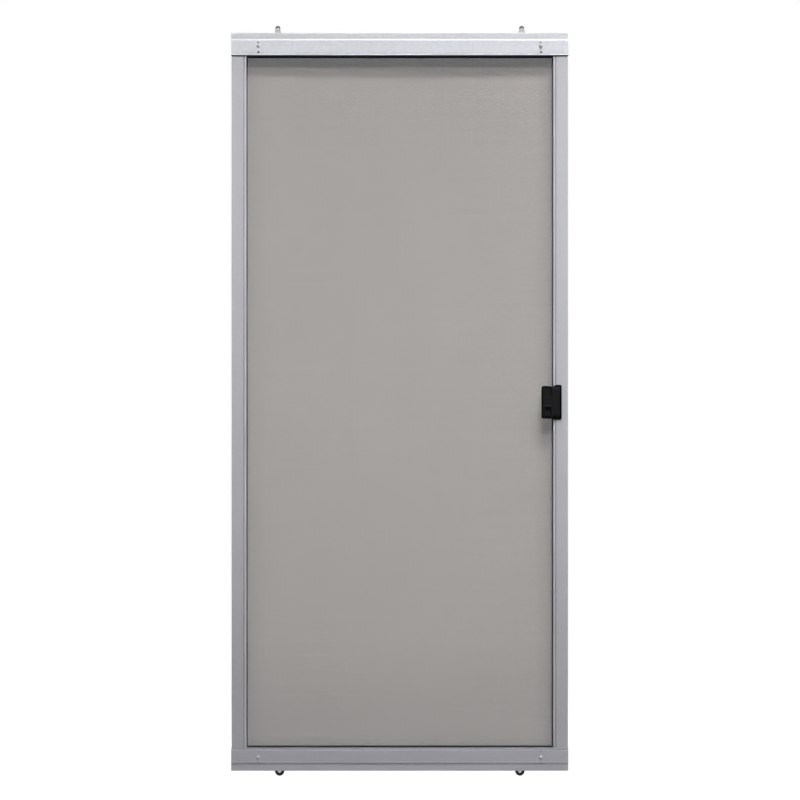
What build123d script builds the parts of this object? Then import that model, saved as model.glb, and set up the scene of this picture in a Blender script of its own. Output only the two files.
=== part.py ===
from build123d import *
import os
from math import acos, atan2, cos, degrees, hypot, sin

os.makedirs("parts", exist_ok=True)

# Sliding screen door panel, seen from outside along +Y: X is its width, Z is up.
# The origin is the middle of the bottom rail's lower edge.

# Panel
panel_width = 914.4
panel_height = 2002.0
sheet = 1.0
fit_gap = 0.1

# Stile section
stile_face = 31.8
stile_groove = 3.0
stile_groove_depth = 2.2
stile_groove_lean = 0.4
stile_lip = 4.8
stile_lip_round = 1.8
stile_inset = 1.0
stile_corner = 1.2

# Rail section: an outer band for the track, a sloping shoulder, then the main tube
band_height = 17.5
band_depth = 22.4
shoulder_height = 3.2
rail_depth = 24.0
rail_height = 62.5
rail_groove_place = 55.5
rail_groove = 3.0
rail_groove_depth = 0.5
rail_corner = 0.8

# Spline channel at the inner edge of every section
channel_mouth_y = 3.5
stile_channel = 2.8
rail_channel = 3.6
channel_depth = 5.5
spline_depth = 4.6

# Mesh, as a plain grid of openings
mesh_thickness = 0.5
mesh_across = 6
mesh_down = 13
mesh_open = 0.35

# Corner keys
key_plate = 3.0
key_upright = 95.0
key_reach = 60.0
key_rib = 22.0
key_rib_plate = 2.0

# Roller units, measured along the rail from its end and in from its outer edge
bottom_wheel_inset = 131.0
bottom_wheel_out = 2.0
bottom_wheel_radius = 12.5
bottom_tip_radius = 5.0
bottom_neck_radius = 9.0
bottom_shoulder_in = 8.0
bottom_slot_clear = 8.0
top_wheel_inset = 126.0
top_wheel_out = 12.8
top_wheel_radius = 6.8
top_tip_radius = 4.6
top_neck_radius = 9.8
top_shoulder_in = 2.0
top_slot_clear = 12.0
slot_width = 14.0
neck_in = 13.0
wheel_width = 6.0
wheel_rim = 0.8
wheel_groove = 1.8
hub_step = 0.4
hub_wall = 1.6
axle_radius = 2.0
axle_head_radius = 3.6
axle_head = 0.8
running_gap = 0.08
side_gap = 0.2
arm_plate = 1.2
arm_web_length = 28.0
pivot_inset = 74.0
pivot_in = 36.0
pivot_radius = 2.5
pivot_boss = 6.0
pivot_head_radius = 5.2
pivot_head = 2.0
clamp_in = 52.5
clamp_radius = 1.75
clamp_head_radius = 3.2
clamp_head = 2.4
clamp_access_radius = 3.0
clamp_slot_sweep = 14.0
clamp_boss = 5.5
rivet_in = 25.0
rivet_radius = 1.8
rivet_head_radius = 3.2
rivet_head = 1.2
head_crown = 0.6
housing_plate = 1.2
housing_end = 11.0
housing_past_wheel = 20.0

# Latch and handle
handle_height = 1000.0
plate_outer_inset = 18.0
plate_crease_inset = 43.0
plate_inner_inset = 72.6
plate_face_height = 94.0
plate_crease_height = 89.0
plate_shoulder = 4.5
plate_grip_height = 90.0
plate_face_thickness = 4.2
plate_grip_thickness = 5.0
plate_grip_back = 0.6
plate_corner = 5.0
plate_round = 1.8
case_height = 82.0
case_wall = 1.5
case_to_mesh = 1.5
case_side_inset = 2.5
lever_width = 16.0
lever_height = 28.0
lever_below = 23.0
lever_pad = 2.2
lever_ledge = 4.0
lever_ledge_height = 4.0
lever_travel = 8.0
lever_gap = 0.3
stem_width = 4.0
stem_height = 6.0
slider_width = 12.0
slider_height = 22.0
slider_plate = 3.0
drive_bar = 3.0
drive_lap = 1.5
hook_inset = 20.2
hook_below = 15.0
hook_length = 22.0
hook_tip = 4.0
hook_boss = 5.0
hook_nib = 5.0
hook_plate = 3.0
hook_tail = 9.0
hook_tail_radius = 2.5
hook_drive_gap = 0.6
hook_pin_radius = 2.0
mortise_width = 7.0
mortise_below = 14.0
mortise_above = 22.0
pull_thickness = 3.0
pull_blade = 4.0
pull_edge = 1.5
pull_reach = 18.0
pull_blade_height = 80.0
screw_radius = 2.0
screw_spacing = 64.0
screw_inset = 30.5
screw_head_radius = 4.0
screw_head = 2.0
screw_bite = 2.4

half_width = panel_width / 2
rail_half = rail_depth / 2
band_half = band_depth / 2
rail_inside = rail_half - sheet
band_inside = band_half - sheet
stile_half = rail_inside - fit_gap
lip_start = stile_face + stile_groove
stile_wall = lip_start + stile_lip
tube_start = band_height + shoulder_height
channel_floor = channel_mouth_y + channel_depth
stile_start = tube_start + fit_gap
channel_inset = stile_inset + stile_wall
lip_inset = channel_inset + stile_channel
lip_in = rail_height + rail_channel
ear_inside = wheel_width / 2 + hub_step + side_gap
ear_outside = ear_inside + arm_plate
housing_inside = ear_outside + lever_gap
housing_outside = housing_inside + housing_plate
plate_front = -stile_half - plate_face_thickness
grip_back = -stile_half + plate_grip_back
grip_front = grip_back - plate_grip_thickness
hook_x = half_width - hook_inset
hook_z = handle_height - hook_below
bar_top = hook_z - hook_tail_radius - hook_drive_gap
bar_front = -stile_half + sheet + stile_groove_depth + lever_gap
case_back = channel_mouth_y - mesh_thickness - case_to_mesh
bar_back = case_back - case_wall - lever_gap
bar_window = bar_top - drive_bar - lever_gap, bar_top + lever_travel + lever_gap


def box(x0, x1, y0, y1, z0, z1):
    """Block between two corners."""
    size = Box(x1 - x0, y1 - y0, z1 - z0)
    return Pos((x0 + x1) / 2, (y0 + y1) / 2, (z0 + z1) / 2) * size


def pin(x, z, radius, y0, y1):
    """Round bar along Y."""
    return Pos(x, (y0 + y1) / 2, z) * Rot(90, 0, 0) * Cylinder(radius, y1 - y0)


def upright_plate(outline, y0, y1):
    """Outline drawn in X and Z, filled from y0 to y1."""
    return extrude(Plane.XZ.offset(-y1) * outline, amount=y1 - y0)


def shape(*points):
    """Filled outline that faces up whichever way its points run."""
    turned = points[1:] + points[:1]
    area = sum(a[0] * b[1] - b[0] * a[1] for a, b in zip(points, turned))
    return Polygon(*(points if area > 0 else points[::-1]), align=None)


def link(a, ra, b, rb):
    """Straight-sided link round two circles."""
    run = hypot(b[0] - a[0], b[1] - a[1])
    heading = atan2(b[1] - a[1], b[0] - a[0])
    lean = acos((ra - rb) / run)
    corners = []
    for centre, radius, side in ((a, ra, 1), (b, rb, 1), (b, rb, -1), (a, ra, -1)):
        turn = heading + side * lean
        corners.append((centre[0] + radius * cos(turn), centre[1] + radius * sin(turn)))
    return shape(*corners) + Pos(*a) * Circle(ra) + Pos(*b) * Circle(rb)


def channel(edge, width, upright=False):
    """Spline channel folded from the inner wall at edge, drawn as depth and distance in."""
    outer = (channel_mouth_y, edge - sheet, channel_floor + sheet, edge + width + sheet)
    inner = (channel_mouth_y, edge, channel_floor, edge + width)
    faces = []
    for near, low, far, high in (outer, inner):
        corners = ((near, low), (far, low), (far, high), (near, high))
        faces.append(shape(*((b, a) if upright else (a, b) for a, b in corners)))
    return faces[0] - faces[1]


def groove(front, start, width, depth):
    """V-shaped groove cut into a front face; drawn as depth, distance in."""
    return shape((front, start), (front + depth, start + width / 2), (front, start + width))


def rail_section():
    """Rail section drawn with Y across and the distance from the outer edge upwards."""
    outer = shape(
        (-band_half, 0),
        (band_half, 0),
        (band_half, band_height),
        (rail_half, tube_start),
        (rail_half, rail_height),
        (-rail_half, rail_height),
        (-rail_half, tube_start),
        (-band_half, band_height))
    outer = fillet(outer.vertices().filter_by(lambda v: v.Y < 1 or v.Y > rail_height - 1), rail_corner)
    hollow = shape(
        (-band_inside, sheet),
        (band_inside, sheet),
        (band_inside, band_height),
        (rail_inside, tube_start),
        (rail_inside, rail_height - sheet),
        (-rail_inside, rail_height - sheet),
        (-rail_inside, tube_start),
        (-band_inside, band_height))
    cut = groove(-rail_half, rail_groove_place, rail_groove, rail_groove_depth)
    return outer - hollow - cut + channel(rail_height, rail_channel)


def stile_section():
    """Left stile section drawn with the distance from its outer edge across and Y upwards."""
    outer = shape(
        (0, -stile_half),
        (stile_face, -stile_half),
        (stile_face + stile_groove_lean, -stile_half + stile_groove_depth),
        (lip_start - stile_groove_lean, -stile_half + stile_groove_depth),
        (lip_start, -stile_half),
        (stile_wall, -stile_half),
        (stile_wall, stile_half),
        (0, stile_half))
    bead = outer.vertices().filter_by(lambda v: v.Y < 1 - stile_half and v.X > lip_start - 0.1)
    outer = fillet(bead, stile_lip_round)
    ends = outer.vertices().filter_by(lambda v: v.X < 1 or (v.X > stile_wall - 1 and v.Y > 0))
    outer = fillet(ends, stile_corner)
    inside = stile_half - sheet
    hollow = shape(
        (sheet, -inside),
        (stile_face - sheet, -inside),
        (stile_face - sheet + stile_groove_lean, -inside + stile_groove_depth),
        (lip_start + sheet - stile_groove_lean, -inside + stile_groove_depth),
        (lip_start + sheet, -inside),
        (stile_wall - sheet, -inside),
        (stile_wall - sheet, inside),
        (sheet, inside))
    return outer - hollow + channel(stile_wall, stile_channel, upright=True)


def rivet_holes():
    """Distances in and radii of the two rivet holes at one roller unit."""
    return (pivot_in, pivot_radius + fit_gap), (rivet_in, rivet_radius + fit_gap)


def rail(wheel_inset, wheel_radius, slot_clear):
    """Bottom-way-up rail with its roller slots, fixing holes and notched ends."""
    body = extrude(Plane.YZ.offset(-half_width) * rail_section(), amount=panel_width)
    notch = lip_inset + sheet + fit_gap
    for side in (-1, 1):
        end = side * half_width
        body -= box(*sorted((end, end - side * notch)), -rail_inside, rail_inside,
                    rail_height - sheet, lip_in + sheet)
        wheel_x = end - side * wheel_inset
        slot = wheel_radius + slot_clear
        body -= box(wheel_x - slot, wheel_x + slot, -slot_width / 2, slot_width / 2, 0, sheet)
        pivot_x = end - side * pivot_inset
        for place, radius in rivet_holes():
            body -= pin(pivot_x, place, radius, -rail_half - sheet, rail_half + sheet)
        body -= pin(pivot_x, clamp_in, clamp_access_radius, -rail_half - sheet, 0)
    return body


def stile():
    """Left stile, squared off inside both rails, with its channel opened to the rail channels."""
    length = panel_height - 2 * stile_start
    body = Pos(-half_width + stile_inset, 0, stile_start) * extrude(stile_section(), amount=length)
    left_lip = -half_width + lip_inset
    inner_wall = -half_width + channel_inset
    key_top = stile_start + key_plate + fit_gap
    for low, high in ((rail_height, lip_in), (panel_height - lip_in, panel_height - rail_height)):
        body -= box(left_lip, left_lip + sheet, channel_mouth_y, channel_floor, low, high)
    for low, high in ((stile_start, key_top), (panel_height - key_top, panel_height - stile_start)):
        body -= box(inner_wall - sheet, left_lip + sheet, -stile_half + sheet, stile_half - sheet, low, high)
    return body


def right_stile():
    """Mirrored stile with the openings that the latch needs."""
    body = mirror(stile(), about=Plane.YZ)
    inner_wall = half_width - channel_inset
    outer_wall = half_width - stile_inset
    body -= box(outer_wall - sheet, outer_wall, -mortise_width / 2, mortise_width / 2,
                hook_z - mortise_below, hook_z + mortise_above)
    body -= box(inner_wall, inner_wall + sheet, bar_front - lever_gap, bar_back + lever_gap, *bar_window)
    body -= pin(hook_x, hook_z, hook_pin_radius, -stile_half, stile_half)
    for z in (handle_height - screw_spacing / 2, handle_height + screw_spacing / 2):
        body -= pin(half_width - screw_inset, z, screw_radius + fit_gap, -stile_half, stile_half)
    return body


def spline_section(width, upright=False):
    """Round-nosed spline on the channel's centre line, its nose to the front."""
    half = width / 2 - fit_gap
    nose = channel_floor - spline_depth + half
    corners = ((nose, -half), (channel_floor, -half), (channel_floor, half), (nose, half))
    flat = shape(*((b, a) if upright else (a, b) for a, b in corners))
    return flat + Pos(0, nose) * Circle(half) if upright else flat + Pos(nose, 0) * Circle(half)


def spline_upright(side):
    """Spline in the channel of one stile."""
    x = side * (half_width - channel_inset - stile_channel / 2)
    start = rail_height + fit_gap
    length = panel_height - 2 * start
    return Pos(x, 0, start) * extrude(spline_section(stile_channel, upright=True), amount=length)


def spline_level():
    """Spline in the bottom rail's channel, between the upright ones."""
    reach = half_width - lip_inset
    section = Pos(0, rail_height + rail_channel / 2) * spline_section(rail_channel)
    return extrude(Plane.YZ.offset(-reach) * section, amount=2 * reach)


def screen():
    """Mesh panel, lying on the lips of the four channels."""
    width = 2 * (half_width - lip_inset)
    height = panel_height - 2 * lip_in
    across = width / mesh_across
    down = height / mesh_down
    openings = GridLocations(across, down, mesh_across, mesh_down)
    weave = Rectangle(width, height) - openings * Rectangle(across * mesh_open, down * mesh_open)
    plate = upright_plate(weave, channel_mouth_y - mesh_thickness, channel_mouth_y)
    return Pos(0, 0, panel_height / 2) * plate


def corner_key():
    """Bent plate key in the bottom left joint, with a stiffening rib."""
    left = -half_width + stile_inset + sheet + fit_gap
    low = stile_start
    half = stile_half - sheet - fit_gap - stile_groove_depth
    foot = box(left, -half_width + key_reach, -half, half, low, low + key_plate)
    post = box(left, left + key_plate, -half, half, low, key_upright)
    corner = (left + key_plate, low + key_plate)
    web = shape(corner, (corner[0] + key_rib, corner[1]), (corner[0], corner[1] + key_rib))
    return foot + post + upright_plate(web, -key_rib_plate / 2, key_rib_plate / 2)


def housing(run):
    """Hat-section housing in the rail, its feet on the shoulders and its crown under the inner wall."""
    low = stile_start
    high = rail_height - sheet - fit_gap
    foot = rail_inside - fit_gap
    crown = high - housing_plate
    outer = shape(
        (-housing_outside, low),
        (housing_outside, low),
        (housing_outside, high),
        (-housing_outside, high))
    feet = shape((-foot, low), (foot, low), (foot, low + housing_plate), (-foot, low + housing_plate))
    inner = shape(
        (-housing_inside, low),
        (housing_inside, low),
        (housing_inside, crown),
        (-housing_inside, crown))
    start = -run - housing_end
    body = extrude(Plane.YZ.offset(start) * (outer + feet - inner), amount=housing_past_wheel - start)
    for place, radius in rivet_holes():
        body -= pin(-run, place, radius, -housing_outside, housing_outside)
    return body - pin(-run, clamp_in, clamp_radius, -housing_outside, housing_outside)


def arm(run, wheel_out, tip_radius, neck_radius, shoulder_in):
    """Folded arm from its pivot to the ears that carry the wheel, with a slotted tail for the clamp screw."""
    pivot = (-run, pivot_in)
    neck = (0, neck_in)
    shoulder = (0, shoulder_in)
    outline = link((0, -wheel_out), tip_radius, shoulder, neck_radius)
    outline += link(shoulder, neck_radius, neck, neck_radius)
    outline += link(neck, neck_radius, pivot, pivot_boss)
    outline += link(pivot, pivot_boss, (-run, clamp_in), clamp_boss)
    outline -= Pos(*pivot) * Circle(pivot_radius + running_gap)
    outline -= Pos(0, -wheel_out) * Circle(axle_radius)
    sweep = CenterArc(pivot, clamp_in - pivot_in, 90 - clamp_slot_sweep / 2, clamp_slot_sweep)
    outline -= SlotArc(sweep, 2 * (clamp_radius + lever_gap))
    plates = upright_plate(outline, -ear_outside, -ear_inside)
    plates += upright_plate(outline, ear_inside, ear_outside)
    heading = atan2(neck_in - pivot_in, run)
    rise = (pivot_boss + neck_radius) / 2 - arm_plate
    web = Pos(-run / 2, (pivot_in + neck_in) / 2) * Rot(0, 0, degrees(heading)) * Pos(0, rise)
    return plates + upright_plate(web * Rectangle(arm_web_length, arm_plate), -ear_outside, ear_outside)


def wheel(wheel_out, radius):
    """Grooved wheel with a raised hub, turned about Y."""
    half = wheel_width / 2
    bore = axle_radius + running_gap
    hub = bore + hub_wall
    profile = shape(
        (bore, -half - hub_step),
        (hub, -half - hub_step),
        (hub, -half),
        (radius, -half),
        (radius, wheel_rim - half),
        (radius - wheel_groove, 0),
        (radius, half - wheel_rim),
        (radius, half),
        (hub, half),
        (hub, half + hub_step),
        (bore, half + hub_step))
    return Pos(0, 0, -wheel_out) * revolve(profile, axis=Axis.Y)


def axle(wheel_out):
    """Riveted axle through both ears."""
    body = pin(0, -wheel_out, axle_radius, -ear_outside, ear_outside)
    for near, far in ((-ear_outside - axle_head, -ear_outside), (ear_outside, ear_outside + axle_head)):
        body += pin(0, -wheel_out, axle_head_radius, near, far)
    return body


def rivet(x, z, radius, head_radius, head):
    """Rivet through both faces of the rail, with tapered heads."""
    end = rail_half + head
    crown = head_radius * head_crown
    profile = shape(
        (0, -end),
        (crown, -end),
        (head_radius, -rail_half),
        (radius, -rail_half),
        (radius, rail_half),
        (head_radius, rail_half),
        (crown, end),
        (0, end))
    return Pos(x, 0, z) * revolve(profile, axis=Axis.Y)


def rivets(run):
    """The pivot rivet and the lower rivet of one roller unit."""
    pivot = rivet(-run, pivot_in, pivot_radius, pivot_head_radius, pivot_head)
    return pivot, rivet(-run, rivet_in, rivet_radius, rivet_head_radius, rivet_head)


def clamp_screw(run):
    """Clamp screw across the housing, its head behind the access hole in the rail's front."""
    shank = pin(-run, clamp_in, clamp_radius, -housing_outside, housing_outside + 1)
    return shank + pin(-run, clamp_in, clamp_head_radius, -housing_outside - clamp_head, -housing_outside)


def roller_unit(wheel_inset, wheel_out, wheel_radius, *ears):
    """Pieces of one unit about its wheel, with the rail's outer edge at zero and the corner at -X."""
    run = wheel_inset - pivot_inset
    return {
        "housing": housing(run),
        "arm": arm(run, wheel_out, *ears),
        "wheel": wheel(wheel_out, wheel_radius),
        "axle": axle(wheel_out),
        "rivets": Compound(children=list(rivets(run))),
        "clamp_screw": clamp_screw(run),
    }


def outside_handle():
    """Two pillow-shaped halves that meet in a crease: one on the stile, one over the opening."""
    crease = half_width - plate_crease_inset
    outer = half_width - plate_outer_inset
    inner = half_width - plate_inner_inset
    tall = plate_face_height / 2
    low = plate_crease_height / 2
    face = shape(
        (crease, -low),
        (crease + plate_shoulder, -tall),
        (outer, -tall),
        (outer, tall),
        (crease + plate_shoulder, tall),
        (crease, low))
    face = fillet(face.vertices().filter_by(lambda v: v.X > crease + 1), plate_corner)
    face_half = Pos(0, 0, handle_height) * upright_plate(face, plate_front, -stile_half)
    rim = face_half.faces().sort_by(Axis.Y)[0].edges().filter_by(lambda e: e.center().X > crease + 0.1)
    face_half = fillet(rim, plate_round)
    grip = RectangleRounded(crease - inner, plate_grip_height, plate_corner)
    grip_half = Pos((crease + inner) / 2, 0, handle_height) * upright_plate(grip, grip_front, grip_back)
    return face_half, grip_half


def build_handle():
    """Outside handle with its blind screw bosses and the slot that the lever's stem runs in."""
    face_half, grip_half = outside_handle()
    grip_half = fillet(grip_half.faces().sort_by(Axis.Y)[0].edges(), plate_round)
    crease = half_width - plate_crease_inset
    inner_wall = half_width - channel_inset
    strap_half = plate_grip_height / 2 - plate_corner
    strap = box(crease - 1, inner_wall, grip_back - 2, -stile_half,
                handle_height - strap_half, handle_height + strap_half)
    body = face_half + grip_half + strap
    body -= box(crease, half_width, -stile_half, grip_back, 0, panel_height)
    stem_x = lever_x()
    stem_z = stem_middle()
    slot_half = stem_width / 2 + lever_gap
    slot_reach = stem_height / 2 + lever_gap
    body -= box(stem_x - slot_half, stem_x + slot_half, grip_front, grip_back,
                stem_z - slot_reach, stem_z + slot_reach + lever_travel)
    for z in (handle_height - screw_spacing / 2, handle_height + screw_spacing / 2):
        body -= pin(half_width - screw_inset, z, screw_radius, -stile_half - screw_bite, -stile_half)
    return body


def lever_x():
    """Middle of the thumb lever across the grip half."""
    return half_width - (plate_crease_inset + plate_inner_inset) / 2 + 3.0


def stem_middle():
    """Height of the lever's stem at rest."""
    return handle_height - lever_below


def thumb_lever():
    """Thumb pad with a ledge along its top, a stem through the slot, a slider and the drive bar."""
    x = lever_x()
    z = stem_middle()
    back = grip_front - lever_gap
    front = back - lever_pad
    low = z - lever_height / 2
    high = z + lever_height / 2
    pad = box(x - lever_width / 2, x + lever_width / 2, front, back, low, high)
    pad += box(x - lever_width / 2, x + lever_width / 2, front - lever_ledge, front,
               high - lever_ledge_height, high)
    pad = fillet(pad.edges().group_by(Axis.Y)[0], 1.2)
    slide_front = grip_back + lever_gap
    slide_back = slide_front + slider_plate
    stem = box(x - stem_width / 2, x + stem_width / 2, back, slide_back,
               z - stem_height / 2, z + stem_height / 2)
    slider = box(x - slider_width / 2, x + slider_width / 2, slide_front, slide_back,
                 z - slider_height / 2, z + slider_height / 2)
    bar = box(x, hook_x - hook_tail + drive_lap, bar_front, bar_back, bar_top - drive_bar, bar_top)
    return pad + stem + slider + bar


def latch_case():
    """Open-fronted case behind the grip half, beside the stile's inner wall."""
    inner_wall = half_width - channel_inset
    left = half_width - plate_inner_inset + case_side_inset
    right = inner_wall - fit_gap
    low = handle_height - case_height / 2
    high = handle_height + case_height / 2
    body = box(left, right, grip_back, case_back, low, high)
    body = fillet(body.edges().filter_by(Axis.Y), 3.0)
    body -= box(left + case_wall, right - case_wall, grip_back, case_back - case_wall,
                low + case_wall, high - case_wall)
    return body - box(right - case_wall, right, bar_front - lever_gap, bar_back + lever_gap, *bar_window)


def latch_hook():
    """Swinging hook that rests upright inside the stile, with a tail for the drive bar."""
    pivot = (hook_x, hook_z)
    tip = (hook_x, hook_z + hook_length)
    outline = link(pivot, hook_boss, tip, hook_tip)
    outline += link(tip, hook_tip, (hook_x + hook_nib, hook_z + hook_length), hook_tip / 2)
    outline += link(pivot, hook_boss, (hook_x - hook_tail, hook_z), hook_tail_radius)
    outline -= Pos(*pivot) * Circle(hook_pin_radius + running_gap)
    return upright_plate(outline, -hook_plate / 2, hook_plate / 2)


def inside_pull():
    """Back plate with a finger blade along its inner edge."""
    inner = half_width - plate_crease_inset
    outer = half_width - plate_outer_inset
    middle = (inner + outer) / 2
    back = stile_half + pull_thickness
    flat = RectangleRounded(outer - inner, plate_face_height, plate_corner)
    body = Pos(middle, 0, handle_height) * upright_plate(flat, stile_half, back)
    blade = box(inner + pull_edge, inner + pull_edge + pull_blade, back, back + pull_reach,
                handle_height - pull_blade_height / 2, handle_height + pull_blade_height / 2)
    blade = fillet(blade.edges().filter_by(Axis.X).group_by(Axis.Y)[-1], 8.0)
    body += blade
    for z in (handle_height - screw_spacing / 2, handle_height + screw_spacing / 2):
        body -= pin(half_width - screw_inset, z, screw_radius + fit_gap, stile_half, back)
    return body


def handle_screws():
    """The two screws that draw the pull and the handle together through the stile."""
    back = stile_half + pull_thickness
    pieces = []
    for z in (handle_height - screw_spacing / 2, handle_height + screw_spacing / 2):
        shank = pin(half_width - screw_inset, z, screw_radius, -stile_half - screw_bite, back)
        pieces.append(shank + pin(half_width - screw_inset, z, screw_head_radius, back, back + screw_head))
    return Compound(children=pieces)


def upside_down(piece):
    """Bottom piece turned over to the top of the panel."""
    return Pos(0, 0, panel_height) * mirror(piece, about=Plane.XY)


nodes = {}

nodes["left_stile"] = stile()
nodes["right_stile"] = right_stile()
nodes["bottom_rail"] = rail(bottom_wheel_inset, bottom_wheel_radius, bottom_slot_clear)
nodes["top_rail"] = upside_down(rail(top_wheel_inset, top_wheel_radius, top_slot_clear))
nodes["screen_mesh"] = screen()
nodes["left_spline"] = spline_upright(-1)
nodes["right_spline"] = spline_upright(1)
nodes["bottom_spline"] = spline_level()
nodes["top_spline"] = upside_down(spline_level())

nodes["bottom_left_key"] = corner_key()
nodes["bottom_right_key"] = mirror(corner_key(), about=Plane.YZ)
nodes["top_left_key"] = upside_down(corner_key())
nodes["top_right_key"] = upside_down(mirror(corner_key(), about=Plane.YZ))

bottom_unit = roller_unit(bottom_wheel_inset, bottom_wheel_out, bottom_wheel_radius,
                          bottom_tip_radius, bottom_neck_radius, bottom_shoulder_in)
top_unit = roller_unit(top_wheel_inset, top_wheel_out, top_wheel_radius,
                       top_tip_radius, top_neck_radius, top_shoulder_in)
for name, piece in bottom_unit.items():
    left = Pos(-half_width + bottom_wheel_inset, 0, 0) * piece
    nodes["bottom_left_" + name] = left
    nodes["bottom_right_" + name] = mirror(left, about=Plane.YZ)
for name, piece in top_unit.items():
    left = Pos(-half_width + top_wheel_inset, 0, 0) * piece
    nodes["top_left_" + name] = upside_down(left)
    nodes["top_right_" + name] = upside_down(mirror(left, about=Plane.YZ))

nodes["outside_handle"] = build_handle()
nodes["inside_pull"] = inside_pull()
nodes["latch_case"] = latch_case()
nodes["thumb_lever"] = thumb_lever()
nodes["latch_hook"] = latch_hook()
nodes["hook_pin"] = pin(hook_x, hook_z, hook_pin_radius, -stile_half, stile_half)
nodes["handle_screws"] = handle_screws()

for name, piece in nodes.items():
    export_step(piece, "parts/" + name + ".step")
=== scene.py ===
import math

import bmesh
import bpy
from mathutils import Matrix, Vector


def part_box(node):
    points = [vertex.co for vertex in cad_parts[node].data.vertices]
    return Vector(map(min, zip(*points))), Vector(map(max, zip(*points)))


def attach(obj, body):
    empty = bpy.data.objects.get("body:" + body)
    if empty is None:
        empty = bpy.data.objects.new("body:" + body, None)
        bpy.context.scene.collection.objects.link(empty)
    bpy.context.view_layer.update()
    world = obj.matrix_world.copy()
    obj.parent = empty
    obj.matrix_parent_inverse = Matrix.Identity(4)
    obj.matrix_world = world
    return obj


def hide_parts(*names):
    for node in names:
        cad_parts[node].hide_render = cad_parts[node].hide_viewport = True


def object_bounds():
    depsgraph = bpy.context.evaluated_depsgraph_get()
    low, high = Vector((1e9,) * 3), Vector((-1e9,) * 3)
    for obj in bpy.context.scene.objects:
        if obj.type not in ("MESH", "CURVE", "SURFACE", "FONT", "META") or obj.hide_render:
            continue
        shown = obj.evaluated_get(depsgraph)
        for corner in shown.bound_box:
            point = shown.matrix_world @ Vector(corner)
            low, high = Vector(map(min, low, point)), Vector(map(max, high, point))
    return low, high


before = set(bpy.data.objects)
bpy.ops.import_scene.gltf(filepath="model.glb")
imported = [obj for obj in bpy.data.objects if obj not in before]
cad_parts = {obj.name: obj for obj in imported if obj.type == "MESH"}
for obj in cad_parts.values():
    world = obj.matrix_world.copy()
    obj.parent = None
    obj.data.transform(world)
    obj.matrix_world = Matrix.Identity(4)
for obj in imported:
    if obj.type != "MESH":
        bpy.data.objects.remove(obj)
cad_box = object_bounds()

MM = 0.001

# Camera: straight on, far enough that the panel's sides stay hidden
FRAME_WIDTH = 2.1668
CAMERA_DISTANCE = 7.0
CAMERA_X = 0.0007
CAMERA_HEIGHT = 1.0057
SENSOR = 36.0

# Woven screen
PITCH_ACROSS = 25.4 * MM / 16
PITCH_DOWN = 25.4 * MM / 18
YARN_SHARE = 0.64
YARN_THICKNESS = 0.34 * MM
YARN_LAYER = 0.09 * MM
YARN_COLOUR = (0.41, 0.38, 0.357, 1)
# Painted shade on the yarn: darker towards the top, the foot, the bottom rail and the stiles, with a painted
# tint in the shadow under the top rail
YARN_TOP_TONE = 0.83
YARN_FOOT_TONE = 0.82
YARN_EDGE_SHADE = 0.83
YARN_SHADOW_TINT = (1.05, 0.99, 1.07, 1)
YARN_LINES = (420, 1, 1.5), (1.5, 1, 420)
YARN_LINE_TONES = 0.94, 1.06
UPPER_HEIGHTS = 0.35, 1.75
LOWER_HEIGHTS = 0.07, 0.35
SHADED_FOOT = 0.068, 0.092
SHADED_SIDES = 0.365, 0.412
SHADOW_TINT_HEIGHTS = 1.86, 1.92
BULGE = 7.0 * MM
BULGE_POWER = 2.0
UPRIGHT_STEPS = 14
LEVEL_STEPS = 10

# Painted shade and painted highlights, as darker and paler bands along the pieces: share of the colour, then
# ranges along the axes
FAR = 9.0
FRONT = ("y", -FAR, -4 * MM)
BAND_EDGE = 0.25 * MM
# Stiles: painted shade in the grooves beside the lips, darker on the right, and painted highlights on the
# lips
STILE_BANDS = (
    (0.80, (("x", -424.4 * MM, -421.4 * MM), FRONT)),
    (0.60, (("x", 421.4 * MM, 424.4 * MM), FRONT)),
    (1.35, (("x", -421.2 * MM, -416.4 * MM), FRONT)),
    (1.22, (("x", 416.4 * MM, 421.2 * MM), FRONT)),
)
# Bottom rail: painted shade on its top by the lower spline, a painted highlight on the front face below it,
# and painted light on the down-facing shoulder and the band beneath it
BOTTOM_RAIL_BANDS = (
    (0.12, (("z", 62.0 * MM, FAR),)),
    (1.30, (("z", 55.3 * MM, 58.7 * MM), FRONT)),
    (1.55, (("z", 16.8 * MM, 21.2 * MM),)),
    (1.05, (("z", -FAR, 16.8 * MM),)),
)
# Top rail: painted shade on its underside and lowest strip by the upper spline, painted highlights on the
# lip above that and on the shoulder, and painted shade on the outer band
TOP_RAIL_BANDS = (
    (0.15, (("z", 0.0, 1941.9 * MM),)),
    (1.12, (("z", 1941.9 * MM, 1945.0 * MM), FRONT)),
    (1.07, (("z", 1980.8 * MM, 1985.2 * MM),)),
    (0.93, (("z", 1985.2 * MM, FAR),)),
)
# Outside handle: painted shade along its rim, in its crease and at the foot of its half on the stile
HANDLE_BANDS = (
    (0.05, (("x", 0.0, 388.0 * MM),)),
    (0.05, (("x", 434.5 * MM, FAR),)),
    (0.10, (("z", 1041.7 * MM, FAR),)),
    (0.20, (("z", 1039.2 * MM, 1041.7 * MM), ("x", 0.0, 413.5 * MM))),
    (0.35, (("z", 0.0, 957.5 * MM), ("x", 416.0 * MM, FAR))),
    (0.45, (("x", 405.5 * MM, 412.6 * MM), ("z", 1018.0 * MM, FAR))),
    (0.75, (("x", 412.6 * MM, 415.6 * MM),)),
)
# Thumb lever: a painted highlight on its top ledge, a painted shadow under the ledge and painted shade along
# the right of its pad
LEVER_BANDS = (
    (1.60, (("z", 987.0 * MM, FAR),)),
    (0.30, (("z", 979.8 * MM, 987.0 * MM),)),
    (0.35, (("x", 407.3 * MM, FAR), ("z", 0.0, 979.8 * MM))),
)
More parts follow.
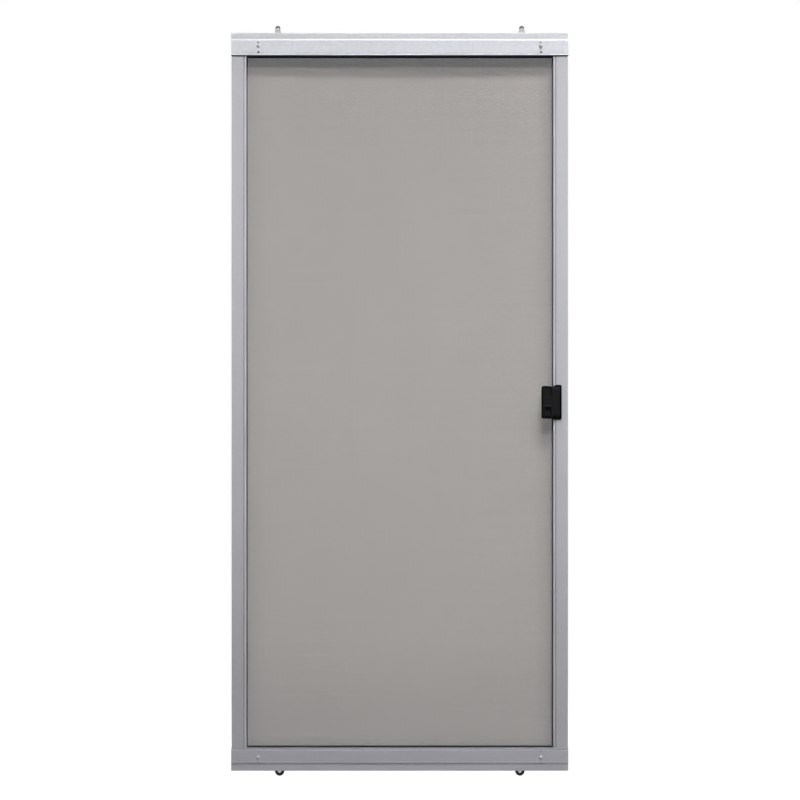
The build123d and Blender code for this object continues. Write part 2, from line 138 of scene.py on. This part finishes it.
# Top roller arms, then axles: painted shade on their tops
ARM_BANDS = (
    (0.30, (("z", 2014.8 * MM, FAR),)),
)
AXLE_BANDS = (
    (0.20, (("z", 2015.3 * MM, FAR),)),
)

# Pillow shape of the outside handle
STILE_FRONT = -10.9 * MM
CREASE_X = 414.2 * MM
PEAK_X = 424.5 * MM
PILLOW_TOP = 1034 * MM, 1047 * MM
PILLOW_FOOT = 966 * MM, 953 * MM
PILLOW_FLAT = 0.70
PILLOW_STEPS = 5
WELD = 0.001 * MM
SLIVER = 0.002 * MM
TOP_DROP = ((400 * MM, 1.4 * MM), (CREASE_X, 3.0 * MM), (418.7 * MM, 2.7 * MM), (PEAK_X, 0.0))

# Studio: each lamp's name, place, target, width and height, spread in degrees and power
LAMPS = (
    ("key bar", (0.09, -3.00, 7.80), (0.09, -0.01, 1.36), (2.4, 0.70), 12.5, 6.65),
    ("right bar", (2.20, -1.65, 8.00), (2.20, -0.01, 1.40), (4.4, 0.5), 90, 267),
    ("left bar", (-3.20, -1.65, 8.00), (-3.20, -0.01, 1.40), (3.2, 0.5), 90, 43),
    ("back panel", (0.60, 4.20, 2.60), (0.00, 0.01, 1.00), (3.0, 3.0), 150, 95),
)
FILL = 0.01
FLOOR_TONE = 0.06
FLOOR_FADE = 0.3, 2.0
FLOOR_DROP = 5 * MM
FLOOR_SIZE = 40.0


# Camera, floor, lamps and background

def add_camera():
    data = bpy.data.cameras.new("camera")
    data.sensor_width = SENSOR
    data.lens = SENSOR * CAMERA_DISTANCE / FRAME_WIDTH
    data.clip_end = 100.0
    camera = bpy.data.objects.new("camera", data)
    front = cad_box[0][1]
    camera.location = (CAMERA_X, front - CAMERA_DISTANCE, CAMERA_HEIGHT)
    camera.rotation_euler = (math.radians(90), 0, 0)
    bpy.context.scene.collection.objects.link(camera)
    bpy.context.scene.camera = camera


def add_lamp(name, place, target, size, spread, power):
    data = bpy.data.lights.new(name, "AREA")
    data.shape = "RECTANGLE"
    data.size, data.size_y = size
    data.spread = math.radians(spread)
    data.energy = power
    lamp = bpy.data.objects.new(name, data)
    lamp.location = place
    lamp.rotation_euler = (Vector(target) - Vector(place)).to_track_quat("-Z", "Y").to_euler()
    lamp.visible_camera = False
    bpy.context.scene.collection.objects.link(lamp)


def see_background(nodes):
    """One where the ray is a camera, glossy or transmitted one."""
    path = nodes.new("ShaderNodeLightPath")
    first = nodes.new("ShaderNodeMath")
    first.operation = "MAXIMUM"
    second = nodes.new("ShaderNodeMath")
    second.operation = "MAXIMUM"
    links = first.id_data.links
    links.new(path.outputs["Is Camera Ray"], first.inputs[0])
    links.new(path.outputs["Is Glossy Ray"], first.inputs[1])
    links.new(first.outputs[0], second.inputs[0])
    links.new(path.outputs["Is Transmission Ray"], second.inputs[1])
    return second.outputs[0]


def add_background(fill):
    world = bpy.data.worlds.new("studio")
    world.use_nodes = True
    nodes = world.node_tree.nodes
    nodes.clear()
    links = world.node_tree.links
    seen = see_background(nodes)
    plain = nodes.new("ShaderNodeBackground")
    plain.inputs["Color"].default_value = (1, 1, 1, 1)
    plain.inputs["Strength"].default_value = fill
    white = nodes.new("ShaderNodeBackground")
    white.inputs["Color"].default_value = (1, 1, 1, 1)
    white.inputs["Strength"].default_value = 1.0
    mix = nodes.new("ShaderNodeMixShader")
    out = nodes.new("ShaderNodeOutputWorld")
    links.new(seen, mix.inputs[0])
    links.new(plain.outputs[0], mix.inputs[1])
    links.new(white.outputs[0], mix.inputs[2])
    links.new(mix.outputs[0], out.inputs[0])
    bpy.context.scene.world = world


def add_floor():
    """Floor that glows white for the camera and is dark to the lamps, black behind the panel."""
    mesh = bpy.data.meshes.new("floor")
    half = FLOOR_SIZE / 2
    z = cad_box[0][2] - FLOOR_DROP
    corners = [(-half, -half, z), (half, -half, z), (half, half, z), (-half, half, z)]
    mesh.from_pydata(corners, [], [(0, 1, 2, 3)])
    floor = bpy.data.objects.new("floor", mesh)
    bpy.context.scene.collection.objects.link(floor)
    material = bpy.data.materials.new("floor_white")
    material.use_nodes = True
    nodes = material.node_tree.nodes
    nodes.clear()
    links = material.node_tree.links
    matte = nodes.new("ShaderNodeBsdfDiffuse")
    links.new(remap(material.node_tree, along_axes(material.node_tree)["y"], *FLOOR_FADE, FLOOR_TONE, 0.0),
              matte.inputs["Color"])
    glow = nodes.new("ShaderNodeEmission")
    links.new(see_background(nodes), glow.inputs["Strength"])
    add = nodes.new("ShaderNodeAddShader")
    out = nodes.new("ShaderNodeOutputMaterial")
    links.new(matte.outputs[0], add.inputs[0])
    links.new(glow.outputs[0], add.inputs[1])
    links.new(add.outputs[0], out.inputs["Surface"])
    mesh.materials.append(material)


# Shader node groups

def new_group(name, inputs, outputs):
    group = bpy.data.node_groups.new(name, "ShaderNodeTree")
    for label, kind, value in inputs:
        socket = group.interface.new_socket(name=label, in_out="INPUT", socket_type=kind)
        socket.default_value = value
    for label, kind in outputs:
        group.interface.new_socket(name=label, in_out="OUTPUT", socket_type=kind)
    entry = group.nodes.new("NodeGroupInput")
    leave = group.nodes.new("NodeGroupOutput")
    return group, entry, leave


def object_place(group):
    """Place in the object's own coordinates."""
    return group.nodes.new("ShaderNodeTexCoord").outputs["Object"]


def noise(group, place, scale, detail=3.0, rough=0.5):
    node = group.nodes.new("ShaderNodeTexNoise")
    node.inputs["Scale"].default_value = scale
    node.inputs["Detail"].default_value = detail
    node.inputs["Roughness"].default_value = rough
    group.links.new(place, node.inputs["Vector"])
    return node.outputs["Fac"]


def remap(group, value, low, high, to_low, to_high):
    node = group.nodes.new("ShaderNodeMapRange")
    node.inputs["From Min"].default_value = low
    node.inputs["From Max"].default_value = high
    node.inputs["To Min"].default_value = to_low
    node.inputs["To Max"].default_value = to_high
    group.links.new(value, node.inputs["Value"])
    return node.outputs[0]


def maths(group, kind, a, b):
    node = group.nodes.new("ShaderNodeMath")
    node.operation = kind
    for socket, value in zip(node.inputs, (a, b)):
        if isinstance(value, (int, float)):
            socket.default_value = value
        else:
            group.links.new(value, socket)
    return node.outputs[0]


def along_axes(group):
    """Object place as single values, with the distance to the panel's middle as well."""
    parts = group.nodes.new("ShaderNodeSeparateXYZ")
    group.links.new(object_place(group), parts.inputs[0])
    x, y, z = parts.outputs
    return {"x": x, "y": y, "z": z, "side": maths(group, "ABSOLUTE", x, 0)}


def within(group, value, low, high):
    """One between two places and zero outside them, with a soft edge."""
    half = (high - low) / 2
    away = maths(group, "ABSOLUTE", maths(group, "SUBTRACT", value, (low + high) / 2), 0)
    return remap(group, away, half - BAND_EDGE, half + BAND_EDGE, 1.0, 0.0)


def scale_colour(group, colour, level):
    node = group.nodes.new("ShaderNodeVectorMath")
    node.operation = "SCALE"
    group.links.new(colour, node.inputs[0])
    group.links.new(level, node.inputs["Scale"])
    return node.outputs[0]


def shade_bands(group, colour, bands):
    """Colour made darker or paler by a share inside each band, given as ranges along the axes, for painted
    shade and painted highlights.
    """
    if not bands:
        return colour
    axes = along_axes(group)
    level = 1.0
    for share, ranges in bands:
        mask = 1.0 - share
        for axis, low, high in ranges:
            mask = maths(group, "MULTIPLY", within(group, axes[axis], low, high), mask)
        level = maths(group, "MULTIPLY", maths(group, "SUBTRACT", 1.0, mask), level)
    return scale_colour(group, colour, level)


def mix_colour(group, factor, a, b, kind="MIX"):
    node = group.nodes.new("ShaderNodeMix")
    node.data_type = "RGBA"
    node.blend_type = kind
    for socket, value in ((node.inputs[0], factor), (node.inputs[6], a), (node.inputs[7], b)):
        if isinstance(value, (int, float, tuple)):
            socket.default_value = value
        else:
            group.links.new(value, socket)
    return node.outputs[2]


def build_tone_group():
    """Slow mottling and fine speckle that lighten and darken a colour."""
    group, entry, leave = new_group(
        "tone drift",
        (("Color", "NodeSocketColor", (0.5, 0.5, 0.5, 1)),
         ("Mottle", "NodeSocketFloat", 0.04),
         ("Speckle", "NodeSocketFloat", 0.02),
         ("Mottle Scale", "NodeSocketFloat", 6.0),
         ("Speckle Scale", "NodeSocketFloat", 900.0)),
        (("Color", "NodeSocketColor"), ("Mask", "NodeSocketFloat")))
    place = object_place(group)
    slow = noise(group, place, 6.0, 4.0, 0.6)
    fine = noise(group, place, 900.0, 1.0)
    group.links.new(entry.outputs["Mottle Scale"], slow.node.inputs["Scale"])
    group.links.new(entry.outputs["Speckle Scale"], fine.node.inputs["Scale"])
    slow_part = maths(group, "MULTIPLY", maths(group, "SUBTRACT", slow, 0.5), entry.outputs["Mottle"])
    fine_part = maths(group, "MULTIPLY", maths(group, "SUBTRACT", fine, 0.5), entry.outputs["Speckle"])
    level = maths(group, "ADD", maths(group, "ADD", slow_part, fine_part), 1.0)
    group.links.new(scale_colour(group, entry.outputs["Color"], level), leave.inputs["Color"])
    group.links.new(slow, leave.inputs["Mask"])
    return group


def build_streak_group():
    """Long fine draw lines along X or Z, as a height and a mask."""
    group, entry, leave = new_group(
        "draw lines",
        (("Along", "NodeSocketVector", (1, 1, 1)),
         ("Strength", "NodeSocketFloat", 0.3)),
        (("Height", "NodeSocketFloat"), ("Mask", "NodeSocketFloat")))
    stretch = group.nodes.new("ShaderNodeVectorMath")
    stretch.operation = "MULTIPLY"
    group.links.new(object_place(group), stretch.inputs[0])
    group.links.new(entry.outputs["Along"], stretch.inputs[1])
    lines = noise(group, stretch.outputs[0], 1.0, 4.0, 0.65)
    group.links.new(maths(group, "MULTIPLY", lines, entry.outputs["Strength"]), leave.inputs["Height"])
    group.links.new(lines, leave.inputs["Mask"])
    return group


def build_wear_group():
    """Worn or dusty mask: bright on sharp edges and broken up by noise."""
    group, entry, leave = new_group(
        "edge wear",
        (("Amount", "NodeSocketFloat", 0.3),
         ("Break Up", "NodeSocketFloat", 120.0)),
        (("Mask", "NodeSocketFloat"),))
    geometry = group.nodes.new("ShaderNodeNewGeometry")
    patches = noise(group, object_place(group), 120.0, 5.0, 0.7)
    group.links.new(entry.outputs["Break Up"], patches.node.inputs["Scale"])
    edges = remap(group, geometry.outputs["Pointiness"], 0.52, 0.62, 0.0, 1.0)
    both = maths(group, "MULTIPLY", edges, remap(group, patches, 0.42, 0.62, 0.0, 1.0))
    group.links.new(maths(group, "MULTIPLY", both, entry.outputs["Amount"]), leave.inputs["Mask"])
    return group


TONE = build_tone_group()
STREAK = build_streak_group()
WEAR = build_wear_group()


# Materials

def new_material(name):
    material = bpy.data.materials.new(name)
    material.use_nodes = True
    tree = material.node_tree
    shader = tree.nodes["Principled BSDF"]
    return material, tree, shader


def place_group(tree, group, **values):
    node = tree.nodes.new("ShaderNodeGroup")
    node.node_tree = group
    for label, value in values.items():
        node.inputs[label.replace("_", " ")].default_value = value
    return node


def bump(tree, shader, height, distance, strength=1.0):
    node = tree.nodes.new("ShaderNodeBump")
    node.inputs["Distance"].default_value = distance
    node.inputs["Strength"].default_value = strength
    tree.links.new(height, node.inputs["Height"])
    tree.links.new(node.outputs[0], shader.inputs["Normal"])


def frame_paint(name, colour, along, bands):
    """Satin baked paint on roll-formed sheet, with faint draw lines, worn edges, and painted shade and
    highlights in the given bands.
    """
    material, tree, shader = new_material(name)
    tone = place_group(tree, TONE, Color=colour, Mottle=0.05, Speckle=0.035)
    wear = place_group(tree, WEAR, Amount=0.35)
    worn = mix_colour(tree, wear.outputs["Mask"], tone.outputs["Color"], (0.62, 0.62, 0.62, 1))
    tree.links.new(shade_bands(tree, worn, bands), shader.inputs["Base Color"])
    lines = place_group(tree, STREAK, Along=along, Strength=1.0)
    tree.links.new(remap(tree, lines.outputs["Mask"], 0.3, 0.7, 0.40, 0.50), shader.inputs["Roughness"])
    bump(tree, shader, lines.outputs["Height"], 0.00006)
    shader.inputs["Specular IOR Level"].default_value = 0.3
    return material


def zinc_plate(name, colour, rough, metal, bands=()):
    """Bright plated steel with faint handling marks, and painted shade in the given bands."""
    material, tree, shader = new_material(name)
    tone = place_group(tree, TONE, Color=colour, Mottle=0.14, Speckle=0.08, Mottle_Scale=60.0)
    tree.links.new(shade_bands(tree, tone.outputs["Color"], bands), shader.inputs["Base Color"])
    uneven = remap(tree, tone.outputs["Mask"], 0.3, 0.7, rough - 0.06, rough + 0.08)
    tree.links.new(uneven, shader.inputs["Roughness"])
    shader.inputs["Metallic"].default_value = metal
    return material


def black_moulding(name, colour, rough, grain, gloss, bands=()):
    """Black moulded plastic with a fine eroded grain, and painted shade and highlights in the given bands.
    """
    material, tree, shader = new_material(name)
    tone = place_group(tree, TONE, Color=colour, Mottle=0.2, Speckle=0.25,
                       Mottle_Scale=40.0, Speckle_Scale=2500.0)
    wear = place_group(tree, WEAR, Amount=0.25, Break_Up=300.0)
    worn = mix_colour(tree, wear.outputs["Mask"], tone.outputs["Color"], (0.06, 0.06, 0.06, 1))
    tree.links.new(shade_bands(tree, worn, bands), shader.inputs["Base Color"])
    fine = noise(tree, object_place(tree), 3000.0, 2.0)
    tree.links.new(remap(tree, fine, 0.3, 0.7, rough - 0.05, rough + 0.05), shader.inputs["Roughness"])
    bump(tree, shader, fine, grain)
    shader.inputs["Specular IOR Level"].default_value = gloss
    return material


def rubber_cord(name, colour):
    """Black or grey spline cord with fine ribs along it."""
    material, tree, shader = new_material(name)
    tone = place_group(tree, TONE, Color=colour, Mottle=0.3, Speckle=0.2, Mottle_Scale=80.0)
    tree.links.new(tone.outputs["Color"], shader.inputs["Base Color"])
    shader.inputs["Roughness"].default_value = 0.85
    shader.inputs["Specular IOR Level"].default_value = 0.1
    bump(tree, shader, tone.outputs["Mask"], 0.0002)
    return material


def coated_yarn(name):
    """Grey coated glass yarn, palest at knee height, with painted shade: darker towards the top, the foot,
    the bottom rail and the stiles, and a painted tint in the shadow under the top rail.
    """
    material, tree, shader = new_material(name)
    tone = place_group(tree, TONE, Color=YARN_COLOUR, Mottle=0.05, Speckle=0.06,
                       Mottle_Scale=3.0, Speckle_Scale=700.0)
    axes = along_axes(tree)
    upper = remap(tree, axes["z"], *UPPER_HEIGHTS, 1.0, YARN_TOP_TONE)
    lower = remap(tree, axes["z"], *LOWER_HEIGHTS, YARN_FOOT_TONE, 1.0)
    foot = remap(tree, axes["z"], *SHADED_FOOT, YARN_EDGE_SHADE, 1.0)
    sides = remap(tree, axes["side"], *SHADED_SIDES, 1.0, YARN_EDGE_SHADE)
    level = maths(tree, "MULTIPLY", maths(tree, "MINIMUM", upper, lower),
                  maths(tree, "MULTIPLY", foot, sides))
    for along in YARN_LINES:
        lines = place_group(tree, STREAK, Along=along, Strength=1.0)
        uneven = remap(tree, lines.outputs["Mask"], 0.25, 0.75, *YARN_LINE_TONES)
        level = maths(tree, "MULTIPLY", level, uneven)
    shadow_tinted = mix_colour(tree, remap(tree, axes["z"], *SHADOW_TINT_HEIGHTS, 0.0, 1.0), tone.outputs["Color"],
                        YARN_SHADOW_TINT, "MULTIPLY")
    tree.links.new(scale_colour(tree, shadow_tinted, level), shader.inputs["Base Color"])
    shader.inputs["Roughness"].default_value = 0.6
    shader.inputs["Specular IOR Level"].default_value = 0.2
    return material


LENGTHWISE = (3, 900, 900)
UPRIGHT = (900, 900, 3)

finishes = {
    # The top rail's paint is a paler copy of the stiles' paint, as painted light; the bottom rail's is about
    # the same as the stiles', a little bluer
    "top_rail_lit_paint": frame_paint("top_rail_lit_paint", (0.785, 0.80, 0.855, 1), LENGTHWISE, TOP_RAIL_BANDS),
    "bottom_rail_paint": frame_paint("bottom_rail_paint", (0.58, 0.575, 0.63, 1), LENGTHWISE,
                                     BOTTOM_RAIL_BANDS),
    "stile_paint": frame_paint("stile_paint", (0.565, 0.562, 0.602, 1), UPRIGHT, STILE_BANDS),
    "zinc": zinc_plate("zinc_plate", (0.62, 0.62, 0.60, 1), 0.38, 0.75),
    "arm": zinc_plate("arm_steel", (0.46, 0.46, 0.46, 1), 0.40, 0.5, ARM_BANDS),
    "axle": zinc_plate("axle_steel", (0.78, 0.78, 0.77, 1), 0.28, 0.6, AXLE_BANDS),
    "rivet": zinc_plate("rivet_steel", (0.46, 0.46, 0.46, 1), 0.40, 0.35),
    # A paler copy of the rivet steel, as a painted highlight on the bottom rivets
    "lit_rivet": zinc_plate("lit_rivet_steel", (0.50, 0.50, 0.50, 1), 0.50, 0.34),
    # A near-black copy of the steel, as painted shade in the holes of the top clamp screws
    "shaded_screw": zinc_plate("shaded_screw_steel", (0.07, 0.07, 0.07, 1), 0.50, 0.3),
    "wheel": black_moulding("wheel_nylon", (0.036, 0.036, 0.038, 1), 0.5, 0.00004, 0.12),
    "black": black_moulding("latch_black", (0.0145, 0.0145, 0.0155, 1), 0.5, 0.00003, 0.25),
    "handle": black_moulding("handle_black", (0.0145, 0.0145, 0.0155, 1), 0.5, 0.00003, 0.03, HANDLE_BANDS),
    "lever": black_moulding("lever_black", (0.0115, 0.0115, 0.0122, 1), 0.5, 0.00003, 0.03, LEVER_BANDS),
    "spline": rubber_cord("spline_rubber", (0.016, 0.016, 0.017, 1)),
    # Paler grey cord for the right and top splines
    "grey_spline": rubber_cord("grey_spline_rubber", (0.11, 0.107, 0.11, 1)),
    "yarn": coated_yarn("screen_yarn"),
}
NODE_FINISHES = {
    "right_spline": "grey_spline",
    "top_spline": "grey_spline",
    "handle_screws": "rivet",
    "outside_handle": "handle",
    "thumb_lever": "lever",
    "inside_pull": "black",
    "latch_case": "black",
    "screen_mesh": "yarn",
    "top_rail": "top_rail_lit_paint",
    "bottom_rail": "bottom_rail_paint",
}
ENDING_FINISHES = {
    "_stile": "stile_paint",
    "_spline": "spline",
    "_wheel": "wheel",
    "_arm": "arm",
    "_axle": "axle",
    "_rivets": "rivet",
}


def dress(node, finish):
    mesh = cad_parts[node].data
    mesh.materials.clear()
    mesh.materials.append(finishes[finish])


def finish_of(node):
    """Finish by the node's own name, else by the ending that its kind shares."""
    if node in NODE_FINISHES:
        return NODE_FINISHES[node]
    # Bottom rivets take the paler copy, as a painted highlight
    if node.startswith("bottom_") and node.endswith("_rivets"):
        return "lit_rivet"
    # Top clamp screws take the near-black copy, as painted shade in their holes; bottom ones the plain rivet
    # steel
    if node.endswith("_clamp_screw"):
        return "shaded_screw" if node.startswith("top_") else "rivet"
    for ending, finish in ENDING_FINISHES.items():
        if node.endswith(ending):
            return finish
    return "zinc"


# Woven screen

def yarn_strand(name, length, width, along_z, steps):
    """One flattened strand with four long faces and closed ends, finer near its ends."""
    made = bmesh.new()
    rings = []
    for step in range(steps + 1):
        place = length / 2 * math.sin(math.pi * (step / steps - 0.5))
        ring = []
        for side, depth in ((1, 0), (0, 1), (-1, 0), (0, -1)):
            across = side * width / 2
            y = depth * YARN_THICKNESS / 2
            spot = (across, y, place) if along_z else (place, y, across)
            ring.append(made.verts.new(spot))
        rings.append(ring)
    for low, high in zip(rings, rings[1:]):
        for n in range(4):
            made.faces.new((low[n], low[(n + 1) % 4], high[(n + 1) % 4], high[n]))
    made.faces.new(rings[0])
    made.faces.new(rings[-1])
    bmesh.ops.recalc_face_normals(made, faces=made.faces)
    mesh = bpy.data.meshes.new(name)
    made.to_mesh(mesh)
    made.free()
    strand = bpy.data.objects.new(name, mesh)
    bpy.context.scene.collection.objects.link(strand)
    return strand


def weave_tree():
    """Lines of upright and level strands, realized, bulged inwards and given their finish."""
    tree = bpy.data.node_groups.new("woven screen", "GeometryNodeTree")
    face = tree.interface
    face.new_socket(name="Geometry", in_out="OUTPUT", socket_type="NodeSocketGeometry")
    for label, kind in (("Upright Strand", "NodeSocketObject"), ("Level Strand", "NodeSocketObject"),
                        ("Width", "NodeSocketFloat"), ("Height", "NodeSocketFloat"),
                        ("Pitch Across", "NodeSocketFloat"), ("Pitch Down", "NodeSocketFloat"),
                        ("Layer", "NodeSocketFloat"), ("Bulge", "NodeSocketFloat"),
                        ("Middle", "NodeSocketVector"), ("Finish", "NodeSocketMaterial")):
        face.new_socket(name=label, in_out="INPUT", socket_type=kind)
    nodes, links = tree.nodes, tree.links
    entry = nodes.new("NodeGroupInput")
    leave = nodes.new("NodeGroupOutput")

    def calc(kind, a, b):
        return maths(tree, kind, a, b)

    def row(strand, span, pitch, across, layer):
        count = nodes.new("ShaderNodeMath")
        count.operation = "FLOOR"
        links.new(calc("DIVIDE", span, pitch), count.inputs[0])
        line = nodes.new("GeometryNodeMeshLine")
        line.mode = "OFFSET"
        links.new(calc("ADD", count.outputs[0], 1), line.inputs["Count"])
        start = calc("MULTIPLY", calc("MULTIPLY", count.outputs[0], pitch), -0.5)
        offset = nodes.new("ShaderNodeCombineXYZ")
        begin = nodes.new("ShaderNodeCombineXYZ")
        links.new(pitch, offset.inputs[0 if across else 2])
        links.new(start, begin.inputs[0 if across else 2])
        links.new(layer, begin.inputs[1])
        links.new(offset.outputs[0], line.inputs["Offset"])
        links.new(begin.outputs[0], line.inputs["Start Location"])
        info = nodes.new("GeometryNodeObjectInfo")
        links.new(strand, info.inputs["Object"])
        instances = nodes.new("GeometryNodeInstanceOnPoints")
        links.new(line.outputs[0], instances.inputs["Points"])
        links.new(info.outputs["Geometry"], instances.inputs["Instance"])
        return instances.outputs[0]

    minus = calc("MULTIPLY", entry.outputs["Layer"], -1)
    uprights = row(entry.outputs["Upright Strand"], entry.outputs["Width"], entry.outputs["Pitch Across"],
                   True, minus)
    levels = row(entry.outputs["Level Strand"], entry.outputs["Height"], entry.outputs["Pitch Down"], False,
                 entry.outputs["Layer"])
    join = nodes.new("GeometryNodeJoinGeometry")
    links.new(uprights, join.inputs[0])
    links.new(levels, join.inputs[0])
    real = nodes.new("GeometryNodeRealizeInstances")
    links.new(join.outputs[0], real.inputs[0])

    place = nodes.new("GeometryNodeInputPosition")
    parts = nodes.new("ShaderNodeSeparateXYZ")
    links.new(place.outputs[0], parts.inputs[0])

    def dome(value, span):
        share = calc("ABSOLUTE", calc("DIVIDE", calc("MULTIPLY", value, 2), span), 0)
        return calc("SUBTRACT", 1, calc("POWER", calc("MINIMUM", share, 1), BULGE_POWER))

    both = calc("MULTIPLY", dome(parts.outputs[0], entry.outputs["Width"]),
                dome(parts.outputs[2], entry.outputs["Height"]))
    push = nodes.new("ShaderNodeCombineXYZ")
    links.new(calc("MULTIPLY", both, entry.outputs["Bulge"]), push.inputs[1])
    whole = nodes.new("ShaderNodeVectorMath")
    whole.operation = "ADD"
    links.new(push.outputs[0], whole.inputs[0])
    links.new(entry.outputs["Middle"], whole.inputs[1])
    move = nodes.new("GeometryNodeSetPosition")
    links.new(real.outputs[0], move.inputs["Geometry"])
    links.new(whole.outputs[0], move.inputs["Offset"])
    paint = nodes.new("GeometryNodeSetMaterial")
    links.new(move.outputs[0], paint.inputs["Geometry"])
    links.new(entry.outputs["Finish"], paint.inputs["Material"])
    links.new(paint.outputs[0], leave.inputs[0])
    return tree


def grown(name, tree, values):
    """Object made by a Geometry Nodes tree with named values, as a plain mesh."""
    blank = bpy.data.meshes.new(name + "_seed")
    seed = bpy.data.objects.new(name + "_seed", blank)
    bpy.context.scene.collection.objects.link(seed)
    modifier = seed.modifiers.new("grow", "NODES")
    modifier.node_group = tree
    sockets = {s.name: s.identifier for s in tree.interface.items_tree if s.in_out == "INPUT"}
    for label, value in values.items():
        modifier[sockets[label]] = value
    seed.update_tag()
    bpy.context.view_layer.update()
    graph = bpy.context.evaluated_depsgraph_get()
    mesh = bpy.data.meshes.new_from_object(seed.evaluated_get(graph))
    mesh.name = name
    seed.modifiers.clear()
    bpy.data.objects.remove(seed)
    piece = bpy.data.objects.new(name, mesh)
    bpy.context.scene.collection.objects.link(piece)
    return piece


def weave_screen():
    """The woven screen, stretched over the place of the plain pierced sheet."""
    low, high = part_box("screen_mesh")
    size = high - low
    upright = yarn_strand("upright_strand", size.z, YARN_SHARE * PITCH_ACROSS, True, UPRIGHT_STEPS)
    level = yarn_strand("level_strand", size.x, YARN_SHARE * PITCH_DOWN, False, LEVEL_STEPS)
    values = {
        "Upright Strand": upright,
        "Level Strand": level,
        "Width": size.x,
        "Height": size.z,
        "Pitch Across": PITCH_ACROSS,
        "Pitch Down": PITCH_DOWN,
        "Layer": YARN_LAYER,
        "Bulge": BULGE,
        "Middle": (low + high) / 2,
        "Finish": finishes["yarn"],
    }
    screen = grown("woven_screen", weave_tree(), values)
    for strand in (upright, level):
        bpy.data.objects.remove(strand)
    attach(screen, "frame")
    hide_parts("screen_mesh")


# Outside handle

def share_past(value, start, end):
    """Zero at the start, one at the end, with eased ends."""
    share = min(max((value - start) / (end - start), 0.0), 1.0)
    return share * share * (3 - 2 * share)


def top_drop(x):
    """How far the handle's top edge lies below the plate's, on straight lines between the listed places."""
    if x <= TOP_DROP[0][0]:
        return TOP_DROP[0][1]
    for (low, first), (high, second) in zip(TOP_DROP, TOP_DROP[1:]):
        if x <= high:
            return first + (second - first) * (x - low) / (high - low)
    return TOP_DROP[-1][1]


def cut_across(made, place, normal):
    parts = made.verts[:] + made.edges[:] + made.faces[:]
    bmesh.ops.bisect_plane(made, geom=parts, plane_co=place, plane_no=normal)


def pillow_handle():
    """The handle with its half on the stile rounded down to the stile at both ends and its top edge wavy."""
    made = bmesh.new()
    made.from_mesh(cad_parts["outside_handle"].data)
    bmesh.ops.remove_doubles(made, verts=made.verts, dist=WELD)
    for start, end in (PILLOW_TOP, PILLOW_FOOT):
        for step in range(PILLOW_STEPS):
            cut_across(made, (0, 0, start + (end - start) * step / PILLOW_STEPS), (0, 0, 1))
    for place in TOP_DROP:
        cut_across(made, (place[0], 0, 0), (1, 0, 0))
    for vert in made.verts:
        x, y, z = vert.co
        at_top = share_past(z, *PILLOW_TOP)
        at_foot = share_past(z, *PILLOW_FOOT)
        if x > CREASE_X and y < STILE_FRONT:
            vert.co.y = STILE_FRONT + (y - STILE_FRONT) * (1 - PILLOW_FLAT * (at_top + at_foot))
        vert.co.z = z - top_drop(x) * at_top
    bmesh.ops.dissolve_degenerate(made, dist=SLIVER, edges=made.edges[:])
    mesh = bpy.data.meshes.new("pillow_handle")
    made.to_mesh(mesh)
    made.free()
    mesh.materials.append(finishes["handle"])
    handle = bpy.data.objects.new("pillow_handle", mesh)
    bpy.context.scene.collection.objects.link(handle)
    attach(handle, "frame")
    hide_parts("outside_handle")


bpy.context.scene.view_settings.view_transform = "Standard"
add_camera()
add_background(FILL)
add_floor()
for lamp in LAMPS:
    add_lamp(*lamp)

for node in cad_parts:
    dress(node, finish_of(node))

weave_screen()
pillow_handle()
